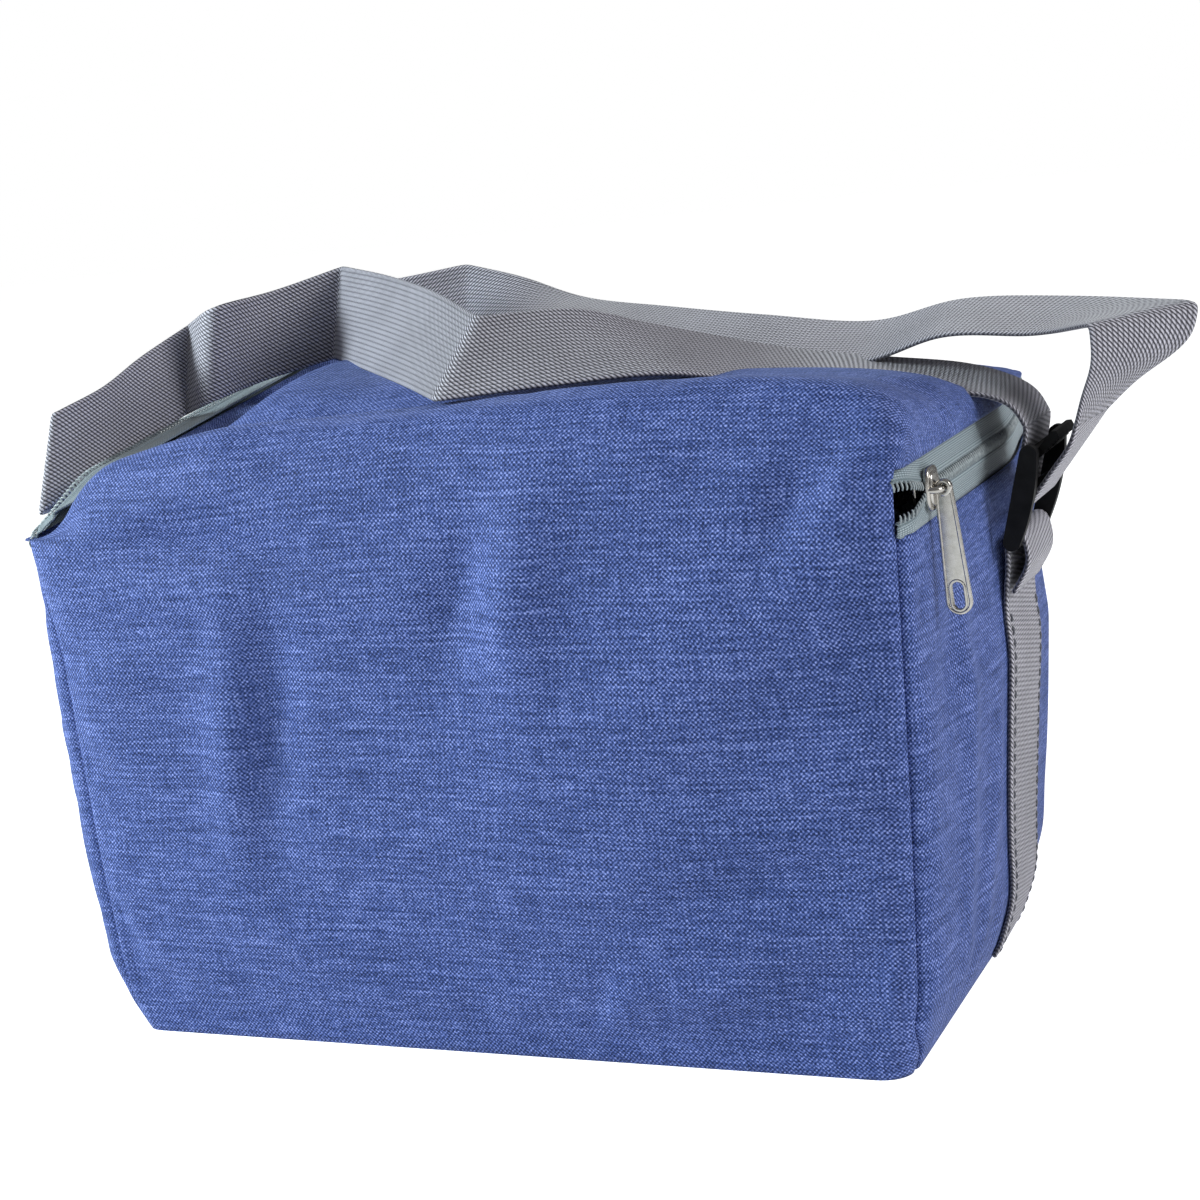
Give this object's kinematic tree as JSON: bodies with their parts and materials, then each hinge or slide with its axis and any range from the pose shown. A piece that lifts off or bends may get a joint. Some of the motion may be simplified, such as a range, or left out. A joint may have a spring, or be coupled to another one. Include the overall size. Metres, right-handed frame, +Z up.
{
  "type": "insulated lunch bag",
  "caption": "Soft insulated lunch bag: box-shaped fabric body with foam and liner, zipped lid hinged on one long edge, side webbing, ladder-lock buckle and shoulder strap.",
  "frame": {"origin": "centre of the base's underside", "axes": "+X across the width towards the ladder lock's side, +Y from the lid's hinge edge towards the opening edge, +Z up"},
  "size_m": [0.3442, 0.1842, 0.2191],
  "materials": {
    "blue_fabric": "melange woven polyester, matt",
    "grey_webbing": "ribbed polypropylene webbing",
    "zip_tape": "woven polyester tape",
    "zip_coil": "nylon coil, satin",
    "nickel_metal": "plated, lightly brushed",
    "black_plastic": "moulded acetal, satin",
    "white_foam": "closed cell foam, matt",
    "silver_liner": "wipe clean foil film, satin"
  },
  "bodies": {
    "bag": {"base_panel": "blue_fabric", "rear_panel": "blue_fabric", "front_panel": "blue_fabric", "left_side_panel": "blue_fabric", "right_side_panel": "blue_fabric", "foam_base": "white_foam", "foam_rear": "white_foam", "foam_front": "white_foam", "foam_left": "white_foam", "foam_right": "white_foam", "liner_tub": "silver_liner", "zip_tape_lower": "zip_tape", "zip_coil_lower": "zip_coil", "side_webbing_left": "grey_webbing", "side_webbing_right": "grey_webbing"},
    "lid": {"lid_panel": "blue_fabric", "foam_lid": "white_foam", "liner_lid": "silver_liner", "zip_tape_upper": "zip_tape", "zip_coil_upper": "zip_coil", "shoulder_strap": "grey_webbing", "strap_tail": "grey_webbing"},
    "slider": {"zip_slider": "nickel_metal"},
    "pull": {"pull_tab": "nickel_metal"},
    "buckle": {"ladder_lock": "black_plastic", "strap_in_buckle": "grey_webbing"}
  },
  "joints": [
    {"name": "lid_hinge", "type": "hinge", "parent": "bag", "child": "lid", "pos_m": [0, -0.09, 0.153], "axis": [1, 0, 0], "range_deg": [0, 105]},
    {"name": "slider_travel", "type": "slide", "parent": "bag", "child": "slider", "axis": [0, 1, 0], "range_m": [0, 0.035]},
    {"name": "pull_swing", "type": "hinge", "parent": "slider", "child": "pull", "pos_m": [0.1396, -0.068, 0.153], "axis": [0, -1, 0], "range_deg": [0, 150]},
    {"name": "buckle_tilt", "type": "hinge", "parent": "bag", "child": "buckle", "pos_m": [0.143, 0, 0.128], "axis": [0, 1, 0], "range_deg": [-12, 35]}
  ]
}
